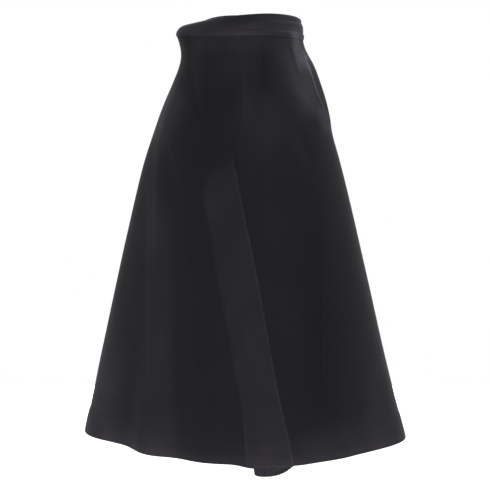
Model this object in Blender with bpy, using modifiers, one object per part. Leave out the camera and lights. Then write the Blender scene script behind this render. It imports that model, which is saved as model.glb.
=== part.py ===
"""A flared midi skirt in smooth black suiting, filled out as it hangs when it is worn.

Metres, +Z up. The origin is the middle of the waist at the height of the waist seam. The front
faces -Y, so the wearer's left is +X. Angles go round the skirt from the middle of the front,
positive toward the wearer's left. Each cloth piece is a closed wall through level sections, with
a face point and a back point at every step, so that neighbours meet at their seams.
"""

import math

import bmesh
import bpy
import numpy as np
from mathutils import Matrix

CLOTH = 0.0015
GAP = 0.0003
HEM = -0.731
TURN_UP = 0.044
TURN_UP_STEP = 0.004

BAND_HEIGHT = 0.040
BAND_WALL = 0.003
BAND_PROUD = 0.0008
CURL_MOST = math.radians(105)
SEAM_HIGH = 0.003
SEAM_LOW = -0.005
SEAM_FADE = 0.06

RELEASE = -0.2116
PLEAT_AIR = 0.001
PLEAT_SLACK = 0.0003
PLEAT_PROUD = 0.006
PLEAT_DROP = 0.021
PLEAT_SEAM = 0.25
PLEAT_APPROACH = 0.040

POCKET_AIR = 0.0008
POCKET_UNDER = -(CLOTH + POCKET_AIR)
FACING_WALL, FACING_UNDER = 0.0012, 13.0
BAG_WALL, BAG_FOOT, BAG_STRAIGHT = 0.0024, -0.2695, 0.5
BAG_MIDDLE, BAG_HALF = 60.0, 20.0

SLIDER_WIDE, SLIDER_TALL, SLIDER_THICK = 0.0046, 0.0090, 0.0022
CROWN_WIDE, CROWN_TALL, CROWN_OUT = 0.0016, 0.0060, 0.0030
CROWN_METAL, CROWN_SUNK = 0.0010, 0.0008
PULL_AXIS_OUT = 0.0011
PULL_BAR, PULL_WINDOW, PULL_WINDOW_WIDE = 0.0006, 0.0042, 0.0028
PULL_LONG, PULL_THICK = 0.0210, 0.0009
PULL_NECK, PULL_FOOT = 0.0052, 0.0072
ZIP_TOP = 0.040


def table(columns, *rows):
    """Rows of numbers as one array for each named column."""
    return dict(zip(columns.split(), np.array(rows, float).T))


# Half widths and depths of the outer face, from the waist seam down to the hem.
SECTIONS = table(
    "height  wearer_right  wearer_left  front  back",
    (0.000, 0.1165, 0.1145, 0.0880, 0.0880),
    (-0.013, 0.1120, 0.1163, 0.0900, 0.0905),
    (-0.029, 0.1090, 0.1227, 0.0935, 0.0945),
    (-0.045, 0.1103, 0.1310, 0.0975, 0.0995),
    (-0.084, 0.1250, 0.1476, 0.1070, 0.1125),
    (-0.113, 0.1370, 0.1568, 0.1145, 0.1215),
    (-0.142, 0.1485, 0.1636, 0.1215, 0.1290),
    (-0.172, 0.1590, 0.1683, 0.1280, 0.1350),
    (-0.223, 0.1757, 0.1825, 0.1375, 0.1440),
    (-0.297, 0.1956, 0.2016, 0.1520, 0.1580),
    (-0.371, 0.2142, 0.2194, 0.1690, 0.1740),
    (-0.446, 0.2309, 0.2365, 0.1870, 0.1900),
    (-0.521, 0.2482, 0.2528, 0.2060, 0.2060),
    (-0.597, 0.2650, 0.2696, 0.2260, 0.2230),
    (-0.673, 0.2812, 0.2868, 0.2450, 0.2390),
    (-0.711, 0.2912, 0.2962, 0.2550, 0.2470),
    (HEM, 0.2952, 0.3006, 0.2590, 0.2500),
)

# Soft folds. Each runs from its start height at the angle top to the hem at the angle foot.
# Angle and width are degrees, depth is metres out of the section at the hem, and growth is how
# late it comes.
FOLDS = table(
    "start  top  foot  width  depth  growth",
    (-0.060, -68, -56, 19, -0.046, 1.3),
    (-0.100, -78, -37, 6, 0.006, 0.5),
    (-0.200, -46, -26, 10, -0.025, 1.0),
    (RELEASE, -6, 16, 11, 0.018, 1.2),
    (-0.240, 52, 33, 9, 0.007, 0.9),
    (-0.420, 72, 72, 15, 0.012, 1.4),
    (-0.180, -124, -122, 13, -0.018, 1.2),
    (-0.220, -146, -143, 9, 0.010, 1.1),
    (-0.250, -163, -164, 8, -0.014, 1.1),
    (-0.220, 170, 171, 9, 0.012, 1.0),
    (-0.250, 150, 149, 10, -0.016, 1.1),
    (-0.200, 128, 126, 11, 0.009, 1.2),
    (-0.260, 108, 107, 9, -0.009, 1.1),
)

# Where the middle front seam runs, and below its release the crisp outer fold of the pleat and
# the fold inside it, as distances across the front.
PLEAT = table(
    "height  edge  inside",
    (0.000, 0.0050, -0.0030),
    (-0.110, 0.0000, -0.0080),
    (RELEASE, -0.0122, -0.0202),
    (-0.240, -0.0070, -0.0480),
    (-0.2695, -0.0013, -0.0600),
    (-0.3800, 0.0220, -0.0390),
    (-0.4898, 0.0430, -0.0185),
    (-0.6100, 0.0655, 0.0010),
    (HEM, 0.0925, 0.0275),
)

# The seam at the wearer's left, and how far round it gapes as a pocket mouth, in degrees.
POCKET_SIDE = table(
    "height  front_edge  gape",
    (0.000, 72.0, 0.0),
    (-0.029, 70.2, 0.0),
    (-0.050, 68.8, 4.4),
    (-0.084, 67.4, 9.0),
    (-0.113, 69.0, 9.6),
    (-0.142, 75.0, 5.6),
    (-0.172, 82.6, 0.0),
    (-0.240, 87.0, 0.0),
    (-0.371, 88.0, 0.0),
    (HEM, 88.0, 0.0),
)
PLAIN_SIDE = -88.0
MOUTH_TOP, MOUTH_FOOT = -0.029, -0.172

HEIGHTS = (0.0, -0.013, -0.029, -0.050, -0.084, -0.113, -0.142, -0.172, RELEASE, -0.240, -0.2695, -0.320,
           -0.371, -0.446, -0.521, -0.597, -0.655, -(0.731 - TURN_UP - TURN_UP_STEP), -(0.731 - TURN_UP),
           -0.711, HEM)

FINISHES = {
    "suiting": ((0.030, 0.030, 0.036), 0.86, 0.0),
    "band cloth": ((0.034, 0.034, 0.040), 0.84, 0.0),
    "pocket facing": ((0.028, 0.028, 0.033), 0.88, 0.0),
    "pocket lining": ((0.022, 0.022, 0.026), 0.60, 0.0),
    "zip metal": ((0.050, 0.050, 0.055), 0.42, 1.0),
}


def at(columns, name, height):
    """A column at any height, as a smooth curve through its rows."""
    heights, values = columns["height"], columns[name]
    row = int(np.clip(np.searchsorted(-heights, -height) - 1, 0, len(heights) - 2))
    slopes = np.diff(values) / np.diff(heights)
    before, here, after = slopes[max(row - 1, 0)], slopes[row], slopes[min(row + 1, len(slopes) - 1)]
    start, end = (before + here) / 2, (here + after) / 2
    span = heights[row + 1] - heights[row]
    u = (height - heights[row]) / span
    return (
        values[row] * (1 + 2 * u) * (1 - u) ** 2
        + values[row + 1] * u * u * (3 - 2 * u)
        + span * (start * u * (1 - u) ** 2 - end * u * u * (1 - u))
    )


def ease(value):
    """Zero below 0, one above 1, and a smooth step between."""
    value = min(max(value, 0.0), 1.0)
    return value * value * (3 - 2 * value)


def folds(angle, height):
    """How far all the soft folds push the section out here."""
    swell = 0.0
    for start, top, foot, width, depth, growth in zip(*FOLDS.values()):
        grown = min(max((start - height) / (start - HEM), 0.0), 1.0)
        centre = foot + (top - foot) * (1 - grown) ** 2
        turn = (math.degrees(angle) - centre + 180) % 360 - 180
        swell += depth * grown**growth * math.exp(-((turn / width) ** 2))
    return swell


def section(angle, height):
    """A point on the level section, before any layer is lifted off it."""
    right, left = at(SECTIONS, "wearer_right", height), at(SECTIONS, "wearer_left", height)
    front, back = at(SECTIONS, "front", height), at(SECTIONS, "back", height)
    across, ahead = math.sin(angle), math.cos(angle)
    point = np.array([
        ((left + right) / 2 + (left - right) / 2 * across) * across,
        -((front + back) / 2 + (front - back) / 2 * ahead) * ahead,
    ])
    return point * (1 + folds(angle, height) / np.hypot(*point))


def seam_height(angle):
    """The waist seam runs level, and dips at the wearer's left."""
    dip = ease((math.degrees(abs((angle - math.radians(90) + math.pi) % math.tau - math.pi))) / 70)
    return SEAM_LOW + (SEAM_HIGH - SEAM_LOW) * dip


def place(angle, height, lift=0.0, slide=0.0, drop=0.0):
    """A point of the skirt, lifted off its section and slid round it."""
    step = math.radians(0.5)
    before, here, after = section(angle - step, height), section(angle, height), section(angle + step, height)
    along = (after - before) / np.hypot(*(after - before))
    outward = np.array([along[1], -along[0]])
    x, y = here + outward * lift + along * slide
    fade = 1 - min(-height / SEAM_FADE, 1.0)
    return np.array([x, y, height + seam_height(angle) * fade - drop])


def angle_at(across, height, lift=0.0):
    """The angle on the front where a point lies this far across."""
    low, high = math.radians(-60), math.radians(60)
    for _ in range(24):
        middle = (low + high) / 2
        if place(middle, height, lift)[0] < across:
            low = middle
        else:
            high = middle
    return low


def cloth_at(height):
    """The wall is doubled where the hem is turned up."""
    top = HEM + TURN_UP
    return CLOTH * (1 + ease((top + TURN_UP_STEP - height) / TURN_UP_STEP))


class Pleat:
    """The knife pleat's layers at one height."""

    def __init__(self, height):
        self.height = height
        self.open = height <= RELEASE
        grown = min(max((RELEASE - height) / (RELEASE - HEM), 0.0), 1.0)
        self.cloth = cloth_at(height)
        self.radius = self.cloth + PLEAT_SLACK
        self.proud = PLEAT_PROUD * grown**0.7
        self.lifted = ease((RELEASE + 0.030 - height) / 0.030)
        self.edge = angle_at(at(PLEAT, "edge", height), height, self.outer_lift(1.0))
        self.inside = angle_at(at(PLEAT, "inside", height), height, self.outer_lift(0.0))
        self.reach = np.hypot(*section(self.edge, height))
        self.drop = PLEAT_DROP * ease(1 - (height - HEM) / 0.20)

    def return_lift(self, along):
        return PLEAT_AIR + self.proud * along**1.5

    def outer_lift(self, along):
        return (self.return_lift(along) + 2 * self.radius) * self.lifted

    def between(self, along):
        return self.inside + (self.edge - self.inside) * along

    def sag(self, along):
        """How much lower the hidden layers hang, most at the fold inside."""
        return self.drop * (1 - ease(along))


def steps(first, last, count):
    return [first + (last - first) * i / count for i in range(count + 1)]


def outer_row(height, count_free=17, count_step=4, count_over=6, count_turn=4, count_return=5):
    """One row of the front panel at the wearer's right: free cloth, the pleat over, its turn, its return."""
    pleat = Pleat(height)
    face, back = [], []

    def add(angle, lift, slide=0.0, through=-1.0, drop=0.0):
        face.append(place(angle, height, lift, slide, drop))
        back.append(place(angle, height, lift + through * pleat.cloth, slide, drop))

    side = math.radians(PLAIN_SIDE) + GAP / 2 / pleat.reach
    near = pleat.inside - 0.005 / pleat.reach
    approach = near - PLEAT_APPROACH / pleat.reach
    for angle in steps(side, approach, count_free)[:-1]:
        add(angle, 0.0)
    for i, angle in enumerate(steps(approach, near, count_step)):
        add(angle, pleat.outer_lift(0.0) * ease(i / count_step))
    last = pleat.edge - (pleat.radius / pleat.reach if pleat.open else 0.0)
    for i, angle in enumerate(steps(near, last, count_over)[1:]):
        add(angle, pleat.outer_lift((i + 1) / count_over))
    centre = pleat.return_lift(1.0) + pleat.radius
    for i in range(1, count_turn + 1):
        turn = math.pi * i / count_turn
        for points, radius in ((face, pleat.radius), (back, PLEAT_SLACK)):
            lift = centre + radius * math.cos(turn)
            points.append(place(last, height, lift, radius * math.sin(turn)))
    stop = PLEAT_SEAM + GAP / 2 / max((pleat.edge - pleat.inside) * pleat.reach, 0.004)
    span = (last - pleat.inside) / (pleat.edge - pleat.inside)
    for along in steps(span, stop, count_return)[1:]:
        add(pleat.between(along), pleat.return_lift(along), 0.0, 1.0, pleat.sag(along))
    hidden = len(face) - count_turn - count_return - 1
    return face, back, (hidden, len(face)) if not pleat.open else None


def under_row(height, count_return=2, count_turn=4, count_under=6, count_free=19):
    """One row of the front panel at the wearer's left: the end of the return, the fold inside, then the front."""
    pleat = Pleat(height)
    face, back = [], []
    width = max((pleat.edge - pleat.inside) * pleat.reach, 0.004)
    for along in steps(PLEAT_SEAM - GAP / 2 / width, 0.0, count_return):
        lift = pleat.return_lift(along)
        face.append(place(pleat.between(along), height, lift, 0.0, pleat.sag(along)))
        back.append(place(pleat.between(along), height, lift + pleat.cloth, 0.0, pleat.sag(along)))
    radius = PLEAT_AIR / 2
    for i in range(1, count_turn + 1):
        turn = math.pi * i / count_turn
        for points, bend in ((face, radius), (back, radius + pleat.cloth)):
            lift = radius + bend * math.cos(turn)
            points.append(place(pleat.inside, height, lift, -bend * math.sin(turn), pleat.sag(0.0)))
    for i, along in enumerate(steps(0.0, 1.0, count_under)[1:-1]):
        face.append(place(pleat.between(along), height, 0.0, 0.0, pleat.drop * (1 - along**3)))
        back.append(place(pleat.between(along), height, -pleat.cloth, 0.0, pleat.drop * (1 - along**3)))
    first = pleat.edge + GAP / pleat.reach
    side = math.radians(at(POCKET_SIDE, "front_edge", height)) - GAP / 2 / pleat.reach
    shown = len(face)
    for angle in steps(first, side, count_free):
        face.append(place(angle, height))
        back.append(place(angle, height, -pleat.cloth))
    return face, back, (0, shown) if not pleat.open else None


def plain_row(height, first, last, count, lift=0.0, wall=None):
    """One row of a plain wall between two angles."""
    wall = wall or cloth_at(height)
    face = [place(angle, height, lift) for angle in steps(first, last, count)]
    back = [place(angle, height, lift - wall) for angle in steps(first, last, count)]
    return face, back, None


def back_edge(height):
    """The back edge of the seam at the wearer's left."""
    gape = max(at(POCKET_SIDE, "gape", height), 0.0) if MOUTH_FOOT < height < MOUTH_TOP else 0.0
    return math.radians(at(POCKET_SIDE, "front_edge", height) + gape)


def back_row(height, wearers_left, count=21):
    reach = at(SECTIONS, "back", height)
    middle = math.pi - GAP / 2 / reach
    if wearers_left:
        side = back_edge(height) + GAP / 2 / reach
        return plain_row(height, side, middle, count)
    return plain_row(height, -middle, math.radians(PLAIN_SIDE) - GAP / 2 / reach, count)


def curl(angle):
    """The band leans in at the wearer's right, and a little at the wearer's left."""
    turn = math.degrees(angle)
    lean = ease((22 - turn) / 92) if turn > -90 else ease((turn + 186) / 84)
    return CURL_MOST * lean + math.radians(10) * math.exp(-(((turn - 82) / 34) ** 2)) + 0.01


def band_rows(count_round=60, count_up=5):
    """The waistband: one strip, its ends at the middle back."""
    end = math.pi - GAP / at(SECTIONS, "back", 0.0)
    rows = []
    for step in range(count_up + 1):
        up = BAND_HEIGHT * step / count_up
        face, back = [], []
        for angle in steps(-end, end, count_round):
            bend = curl(angle)
            lean = bend * up / BAND_HEIGHT
            inward = BAND_HEIGHT * (1 - math.cos(lean)) / bend
            rise = GAP + BAND_HEIGHT * math.sin(lean) / bend
            face.append(place(angle, 0.0, BAND_PROUD - inward, 0.0, -rise))
            through = BAND_WALL * math.cos(lean)
            back.append(place(angle, 0.0, BAND_PROUD - inward - through, 0.0, -rise + BAND_WALL * math.sin(lean)))
        rows.append((face, back, None))
    return rows


def material(name):
    colour, roughness, metallic = FINISHES[name]
    made = bpy.data.materials.get(name) or bpy.data.materials.new(name)
    made.use_nodes = True
    shader = made.node_tree.nodes["Principled BSDF"]
    shader.inputs["Base Color"].default_value = (*colour, 1.0)
    shader.inputs["Roughness"].default_value = roughness
    shader.inputs["Metallic"].default_value = metallic
    made.diffuse_color = (*colour, 1.0)
    return made


def keep(mesh, name, finish, collection):
    """The finished bmesh as a named object with its finish."""
    bmesh.ops.recalc_face_normals(mesh, faces=mesh.faces)
    data = bpy.data.meshes.new(name)
    mesh.to_mesh(data)
    mesh.free()
    data.materials.append(material(finish))
    made = bpy.data.objects.new(name, data)
    collection.objects.link(made)
    return made


def wall(name, rows, finish, collection):
    """A closed cloth wall from rows of face and back points. A row can leave some columns out."""
    mesh = bmesh.new()
    count = len(rows[0][0])
    left_out = [row[2] or (count, count) for row in rows]

    def there(row, column):
        if not (0 <= row < len(rows) - 1 and 0 <= column < count - 1):
            return False
        return not left_out[row][0] <= column < left_out[row][1]

    sides = []
    for side in (0, 1):
        sides.append([[mesh.verts.new(point) for point in row[side]] for row in rows])
    for row in range(len(rows) - 1):
        for column in range(count - 1):
            if not there(row, column):
                continue
            corners = ((row, column), (row, column + 1), (row + 1, column + 1), (row + 1, column))
            for grid in sides:
                mesh.faces.new([grid[r][c] for r, c in corners])
            neighbours = ((row - 1, column), (row, column + 1), (row + 1, column), (row, column - 1))
            for i, neighbour in enumerate(neighbours):
                if not there(*neighbour):
                    (r0, c0), (r1, c1) = corners[i], corners[(i + 1) % 4]
                    mesh.faces.new([sides[0][r0][c0], sides[0][r1][c1], sides[1][r1][c1], sides[1][r0][c0]])
    loose = [vert for vert in mesh.verts if not vert.link_faces]
    bmesh.ops.delete(mesh, geom=loose, context="VERTS")
    return keep(mesh, name, finish, collection)


def front_panels(collection):
    wall("front_right_panel", [outer_row(height) for height in HEIGHTS], "suiting", collection)
    wall("front_left_panel", [under_row(height) for height in HEIGHTS], "suiting", collection)


def back_panels(collection):
    for name, wearers_left in (("back_right_panel", False), ("back_left_panel", True)):
        wall(name, [back_row(height, wearers_left) for height in HEIGHTS], "suiting", collection)


def pocket(collection):
    """The facing that shows in the open mouth, and the flat bag behind it."""
    rows = [facing_row(height) for height in HEIGHTS if MOUTH_FOOT <= height <= MOUTH_TOP]
    wall("pocket_facing", rows, "pocket facing", collection)
    rows = []
    for height in (height for height in HEIGHTS if BAG_FOOT <= height < MOUTH_TOP):
        down = (MOUTH_TOP - height) / (MOUTH_TOP - BAG_FOOT)
        belly = math.sqrt(1 - max(down - BAG_STRAIGHT, 0.0) ** 2 / (1.1 - BAG_STRAIGHT) ** 2)
        first = math.radians(BAG_MIDDLE - BAG_HALF * ease(down / BAG_STRAIGHT + 0.5) * belly)
        last = math.radians(BAG_MIDDLE + BAG_HALF * belly)
        rows.append(plain_row(height, first, last, 8, POCKET_UNDER - FACING_WALL - POCKET_AIR, BAG_WALL))
    wall("pocket_bag", rows, "pocket lining", collection)


def facing_row(height, count=9):
    """It lies inside the front edge, and comes up beside the back panel where the mouth gapes."""
    front, last = math.radians(at(POCKET_SIDE, "front_edge", height)), back_edge(height)
    gape = last - front
    first = front - math.radians(FACING_UNDER)
    last -= GAP / at(SECTIONS, "wearer_left", height)
    face, back = [], []
    for angle in steps(first, last, count):
        risen = ease((angle - front) / max(gape, 0.01) - 0.2) * min(gape / math.radians(5), 1.0)
        lift = POCKET_UNDER * (1 - risen)
        face.append(place(angle, height, lift))
        back.append(place(angle, height, lift - FACING_WALL))
    return face, back, None


def box(mesh, low, high):
    """A block between two corners."""
    low, high = np.array(low), np.array(high)
    made = bmesh.ops.create_cube(mesh, size=1.0)["verts"]
    bmesh.ops.scale(mesh, verts=made, vec=high - low)
    bmesh.ops.translate(mesh, verts=made, vec=(low + high) / 2)
    return made


def windowed_plate(top, foot, window, thickness):
    """A flat plate with one window, upright in X and Z. Top and foot are a half width and a height each."""
    mesh = bmesh.new()
    (half_top, high), (half_foot, low) = top, foot
    half, window_high, window_low = window
    outline = [(-half_top, high), (half_top, high), (half_foot, low), (-half_foot, low)]
    opening = [(-half, window_high), (half, window_high), (half, window_low), (-half, window_low)]
    sides = []
    for y in (-thickness / 2, thickness / 2):
        sides.append([[mesh.verts.new((x, y, z)) for x, z in loop] for loop in (outline, opening)])
    for i in range(4):
        j = (i + 1) % 4
        for outside, inside in sides:
            mesh.faces.new([outside[i], outside[j], inside[j], inside[i]])
        for near, far in zip(*sides):
            mesh.faces.new([near[i], near[j], far[j], far[i]])
    return mesh


def zip_slider(face, collection, cutters):
    """A block on the face of the band, and the crown that the pull hangs from."""
    mesh = bmesh.new()
    half = SLIDER_WIDE / 2
    box(mesh, (-half, face, ZIP_TOP - SLIDER_TALL), (half, face + SLIDER_THICK, ZIP_TOP))
    slider = keep(mesh, "zip_slider", "zip metal", collection)
    bevel = slider.modifiers.new("worn edges", "BEVEL")
    bevel.width, bevel.segments = 0.0004, 2
    reach = CROWN_TALL / 2
    window = (reach - CROWN_METAL, CROWN_OUT - CROWN_METAL, 0.0)
    mesh = windowed_plate((reach, CROWN_OUT), (reach, -CROWN_SUNK), window, CROWN_WIDE)
    along_slider = Matrix(((0, 1, 0), (0, 0, 1), (1, 0, 0))).to_4x4()
    mesh.transform(along_slider)
    bmesh.ops.translate(mesh, verts=mesh.verts, vec=(0.0, face + SLIDER_THICK, ZIP_TOP - SLIDER_TALL / 2))
    crown = keep(mesh, "zip_crown", "zip metal", cutters)
    join = slider.modifiers.new("crown", "BOOLEAN")
    join.operation, join.solver, join.object = "UNION", "EXACT", crown


def zip_pull(face, collection):
    """It hangs from its own top bar, which turns inside the crown."""
    hanger = bpy.data.objects.new("zip_pull_axis", None)
    hanger.location = (0.0, face + SLIDER_THICK + PULL_AXIS_OUT, ZIP_TOP - SLIDER_TALL / 2)
    collection.objects.link(hanger)
    window = (PULL_WINDOW_WIDE / 2, -PULL_BAR, -PULL_WINDOW)
    mesh = windowed_plate((PULL_NECK / 2, PULL_BAR), (PULL_FOOT / 2, -PULL_LONG), window, PULL_THICK)
    pull = keep(mesh, "zip_pull", "zip metal", collection)
    pull.parent = hanger
    bevel = pull.modifiers.new("worn edges", "BEVEL")
    bevel.width, bevel.segments = 0.00018, 1


def main():
    for old in list(bpy.data.objects):
        bpy.data.objects.remove(old, do_unlink=True)
    skirt = bpy.data.collections.new("flared skirt")
    cutters = bpy.data.collections.new("cutters")
    cutters.hide_render = True
    for collection in (skirt, cutters):
        bpy.context.scene.collection.children.link(collection)
    front_panels(skirt)
    back_panels(skirt)
    wall("waistband", band_rows(), "band cloth", skirt)
    pocket(skirt)
    zip_face = place(math.pi, 0.0, BAND_PROUD)[1] + GAP
    zip_slider(zip_face, skirt, cutters)
    zip_pull(zip_face, skirt)
    for helper in cutters.objects:
        helper.hide_render = True
        helper.display_type = "WIRE"


main()
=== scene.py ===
"""A flared midi skirt in smooth black suiting, filled out as it hangs when it is worn.

Metres, +Z up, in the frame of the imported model: the origin is the middle of the waist at the waist
seam, the front faces -Y and the wearer's left is +X. Every cloth piece is a grid that is laid on
the same level sections as the model's solids, with finer folds, seams and a turned-up hem.
"""

import math

import bmesh
import bpy
import numpy as np
from mathutils import Matrix, Vector


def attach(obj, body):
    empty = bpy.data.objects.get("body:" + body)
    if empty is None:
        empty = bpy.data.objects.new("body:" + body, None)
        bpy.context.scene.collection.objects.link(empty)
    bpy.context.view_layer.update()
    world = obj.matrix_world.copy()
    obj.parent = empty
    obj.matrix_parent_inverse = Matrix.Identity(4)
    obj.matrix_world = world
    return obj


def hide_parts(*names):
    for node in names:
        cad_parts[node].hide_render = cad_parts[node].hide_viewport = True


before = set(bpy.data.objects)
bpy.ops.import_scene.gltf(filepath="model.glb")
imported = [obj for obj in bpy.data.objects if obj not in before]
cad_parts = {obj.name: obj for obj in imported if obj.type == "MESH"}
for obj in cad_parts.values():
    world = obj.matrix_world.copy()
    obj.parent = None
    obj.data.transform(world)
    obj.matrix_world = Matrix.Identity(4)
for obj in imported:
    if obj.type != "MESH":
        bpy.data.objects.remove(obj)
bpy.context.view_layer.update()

# The cloth's thickness, the gap left in a seam, the hem and the seam allowances.
CLOTH = 0.0007
SEAM_GAP = 0.00002
FRONT_SEAM_DEEP = 0.45
HEM = -0.731
TURN_UP = 0.044
HEM_ROUND = 0.0009
ALLOWANCE = 0.012
ALLOWANCE_UNDER = 0.0018
ROW = 0.0036
PLAIN_SIDE = -88.0
SLIVER = 1e-9

# The waistband, and the waist seam under it.
BAND_HEIGHT = 0.040
BAND_PROUD = 0.0008
BAND_ROUND = 0.0013
BAND_INSIDE = -0.005
CURL_MOST = math.radians(120)
SIDE_CURL = math.radians(18)
SEAM_HIGH = 0.003
SEAM_LOW = -0.005
SEAM_FADE = 0.06

# The knife pleat: the height at which it opens, the air between its layers, and how far its layers
# hang below the hem at the fold inside it.
RELEASE = -0.2116
PLEAT_AIR = 0.0004
PLEAT_SLACK = 0.0001
PLEAT_PROUD = 0.0006
PLEAT_DROP = 0.0190
PLEAT_SEAM = 0.25
PLEAT_SEAM_GAP = 0.00004
PLEAT_APPROACH = 0.040
NARROWEST = 0.004
HEM_DROOP = 0.0045
DROOP_REACH = 0.20

# The pocket in the side seam at the wearer's left, with its facing and its bag.
MOUTH_TOP, MOUTH_FOOT = -0.029, -0.172
WIDEST_GAPE = 9.6
STITCH_IN = 0.0062
STITCH_STEP, STITCH_LONG, STITCH_THICK = 0.0033, 0.0025, 0.00042
BARTACK_LONG, BARTACK_THICK = 0.0026, 0.0006
FACING_UNDER, FACING_REACH = -0.0023, math.radians(13)
BAG_TOP, BAG_FOOT, BAG_UNDER, BAG_THICK = -0.050, -0.2695, -0.0043, 0.0012
BAG_MIDDLE, BAG_HALF = 60, 20

# Overlocking, and the concealed zip inside the middle back.
OVERLOCK_WIDE, OVERLOCK_STEP, OVERLOCK_THICK = 0.0050, 0.0031, 0.0005
ZIP_TOP, ZIP_FOOT = 0.036, -0.185
TAPE_WIDE, TAPE_UNDER, TAPE_THICK, TAPE_FROM_MIDDLE = 0.0125, -0.0034, 0.0006, 0.0012
TAPE_RIB, TAPE_RIB_HIGH = 0.0025, 0.00012
COIL_STEP, COIL_WIDE, COIL_THICK = 0.00125, 0.0042, 0.00115

# How much painted light and nap lighten the cloth: on plain cloth, at the least, where painted shade
# darkens it, and at the most; painted light on the strip that is pressed into the pleat, and painted
# highlights on the strip's edges and on the edge of the pocket mouth.
NAP_AND_PAINTED_LIGHT_PLAIN, NAP_AND_PAINTED_LIGHT_LEAST, NAP_AND_PAINTED_LIGHT_MOST = 0.15, -0.42, 14.0
STRIP_PAINTED_LIGHT, EDGE_PAINTED_HIGHLIGHT, MOUTH_PAINTED_HIGHLIGHT = 0.85, 1.6, 14.0


def table(columns, *rows):
    """Rows of numbers as one array for each named column."""
    return dict(zip(columns.split(), np.array(rows, float).T))


# Half widths and depths of the outer face, from the waist seam down to the hem.
SECTIONS = table(
    "height  wearer_right  wearer_left  front  back",
    (0.000, 0.1165, 0.1145, 0.0880, 0.0880),
    (-0.013, 0.1120, 0.1178, 0.0900, 0.0905),
    (-0.029, 0.1090, 0.1247, 0.0935, 0.0945),
    (-0.045, 0.1103, 0.1330, 0.0975, 0.0995),
    (-0.084, 0.1250, 0.1476, 0.1070, 0.1125),
    (-0.113, 0.1380, 0.1568, 0.1145, 0.1215),
    (-0.142, 0.1497, 0.1636, 0.1215, 0.1290),
    (-0.172, 0.1603, 0.1683, 0.1280, 0.1350),
    (-0.223, 0.1773, 0.1825, 0.1375, 0.1440),
    (-0.297, 0.1968, 0.2016, 0.1520, 0.1580),
    (-0.371, 0.2142, 0.2194, 0.1690, 0.1740),
    (-0.446, 0.2309, 0.2365, 0.1870, 0.1900),
    (-0.521, 0.2482, 0.2528, 0.2060, 0.2060),
    (-0.597, 0.2650, 0.2696, 0.2260, 0.2230),
    (-0.673, 0.2812, 0.2868, 0.2450, 0.2390),
    (-0.711, 0.2912, 0.2962, 0.2550, 0.2470),
    (HEM, 0.2952, 0.3006, 0.2590, 0.2500),
)

# Soft folds. Each runs from its start height at the angle top to the hem at the angle foot.
FOLDS = table(
    "start  top  foot  width  depth  growth",
    (-0.060, -68, -57, 20, -0.044, 1.3),
    (-0.100, -76, -29, 8, 0.006, 0.8),
    (-0.200, -46, -26, 10, -0.025, 1.0),
    (RELEASE, -6, 15, 12, 0.0225, 1.2),
    (-0.240, 52, 33, 9, 0.007, 0.9),
    (-0.420, 72, 72, 15, 0.012, 1.4),
    (-0.180, -124, -122, 13, -0.018, 1.2),
    (-0.220, -146, -143, 9, 0.010, 1.1),
    (-0.250, -163, -164, 8, -0.014, 1.1),
    (-0.220, 170, 171, 9, 0.012, 1.0),
    (-0.250, 150, 149, 10, -0.016, 1.1),
    (-0.200, 128, 126, 11, 0.009, 1.2),
    (-0.260, 108, 107, 9, -0.009, 1.1),
)

# The middle front seam, and below its release the pleat's crisp outer fold and the fold inside it.
PLEAT = table(
    "height  edge  inside",
    (0.000, 0.0050, -0.0030),
    (-0.110, 0.0000, -0.0080),
    (RELEASE, -0.0122, -0.0202),
    (-0.240, -0.0070, -0.0480),
    (-0.2695, -0.0013, -0.0600),
    (-0.3800, 0.0220, -0.0390),
    (-0.4898, 0.0430, -0.0185),
    (-0.6100, 0.0655, 0.0010),
    (-0.7060, 0.0875, 0.0222),
    (HEM, 0.0925, 0.0262),
)

# The pressed strip's left border, where the fold inside the pleat has printed through.
PRESSED = table(
    "height  border",
    (0.0000, -0.0120),
    (-0.2072, -0.0120),
    (-0.2200, -0.0240),
    (-0.2331, -0.0424),
    (-0.2487, -0.0563),
    (-0.2694, -0.0640),
    (-0.2900, -0.0632),
    (-0.3107, -0.0588),
    (-0.3347, -0.0525),
    (-0.3690, -0.0482),
    (-0.4031, -0.0430),
    (-0.4370, -0.0355),
    (-0.5046, -0.0212),
    (-0.5716, -0.0102),
    (-0.6050, -0.0025),
    (-0.6382, 0.0041),
    (-0.6713, 0.0082),
    (-0.7044, 0.0103),
    (HEM, 0.0130),
)

# The seam at the wearer's left, and how far round it gapes as a pocket mouth, in degrees.
POCKET_SIDE = table(
    "height  front_edge  gape",
    (0.000, 72.0, 0.0),
    (-0.029, 70.2, 0.0),
    (-0.050, 68.8, 4.4),
    (-0.084, 67.4, 9.0),
    (-0.113, 69.0, 9.6),
    (-0.142, 75.0, 5.6),
    (-0.172, 82.6, 0.0),
    (-0.240, 87.0, 0.0),
    (-0.371, 88.0, 0.0),
    (HEM, 88.0, 0.0),
)

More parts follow.
